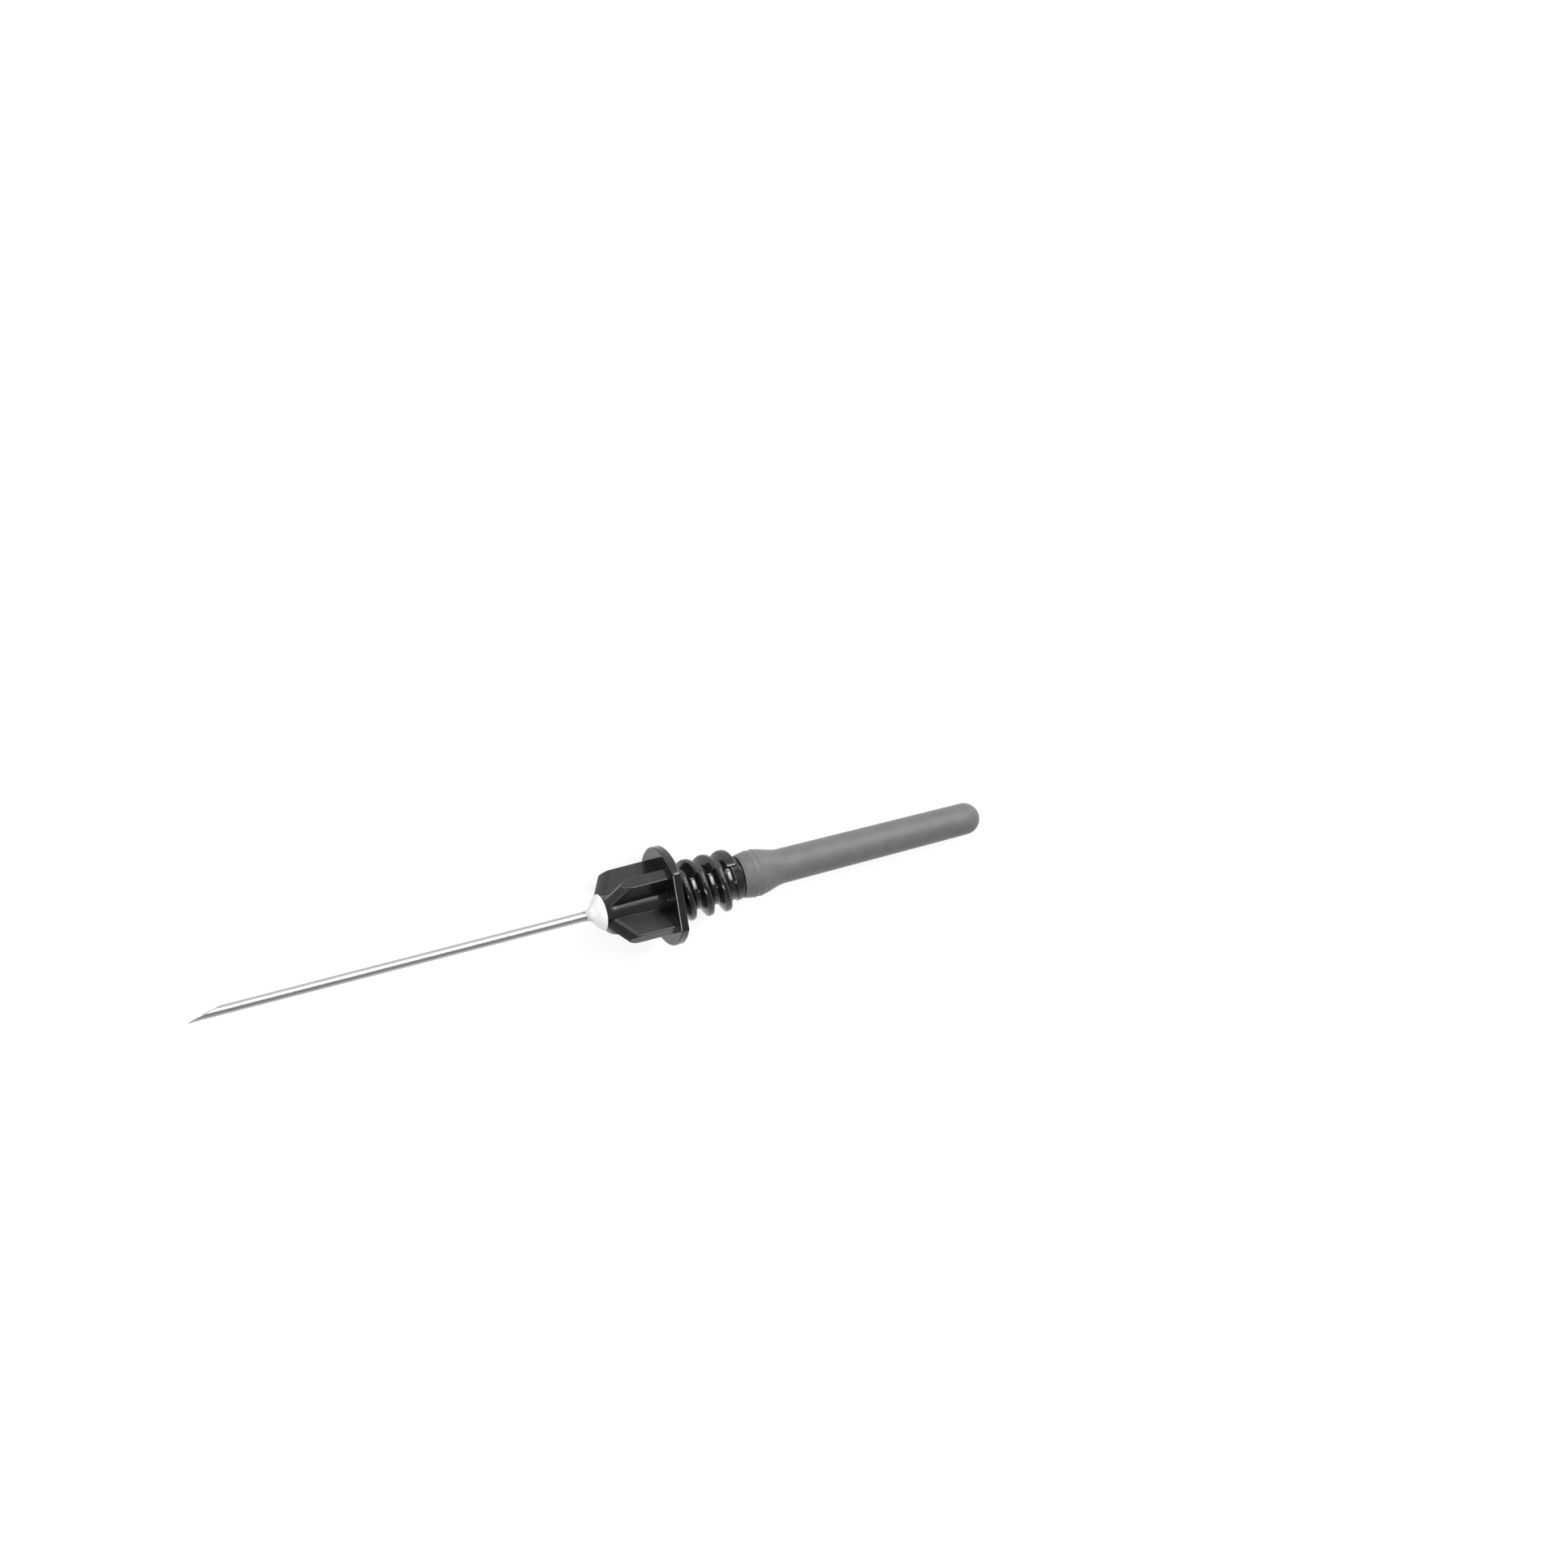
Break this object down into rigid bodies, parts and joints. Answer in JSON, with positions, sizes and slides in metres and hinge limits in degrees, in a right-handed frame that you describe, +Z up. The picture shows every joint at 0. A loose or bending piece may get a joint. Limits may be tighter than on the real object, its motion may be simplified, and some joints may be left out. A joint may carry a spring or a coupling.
{
  "type": "blood collection needle",
  "caption": "Double-ended needle with a bevelled steel cannula, a threaded black hub with pointed fins and a flange, and a rubber sleeve over the rear point that folds back when pushed.",
  "frame": {"origin": "on the ground, below the middle of the needle's length and width", "axes": "+X towards the sleeved rear end, along the ground; +Z up; +Y to the side, so that the vein end points along -X"},
  "size_m": [0.0628, 0.0074, 0.0062],
  "materials": {
    "steel": "drawn and polished stainless steel tube",
    "black_plastic": "glossy injection-moulded black plastic",
    "white_adhesive": "smooth cured opaque white adhesive",
    "grey_rubber": "matt grey rubber with a powdery skin"
  },
  "bodies": {
    "needle": {"cannula": "steel", "hub": "black_plastic", "adhesive": "white_adhesive"},
    "sleeve": {"rubber_sleeve": "grey_rubber"}
  },
  "joints": [
    {"name": "sleeve_retraction", "type": "slide", "parent": "needle", "child": "sleeve", "axis": [-0.997, 0, 0.0775], "range_m": [0, 0.009], "stiffness_N_per_m": 400, "deforming": ["rubber_sleeve"]}
  ]
}
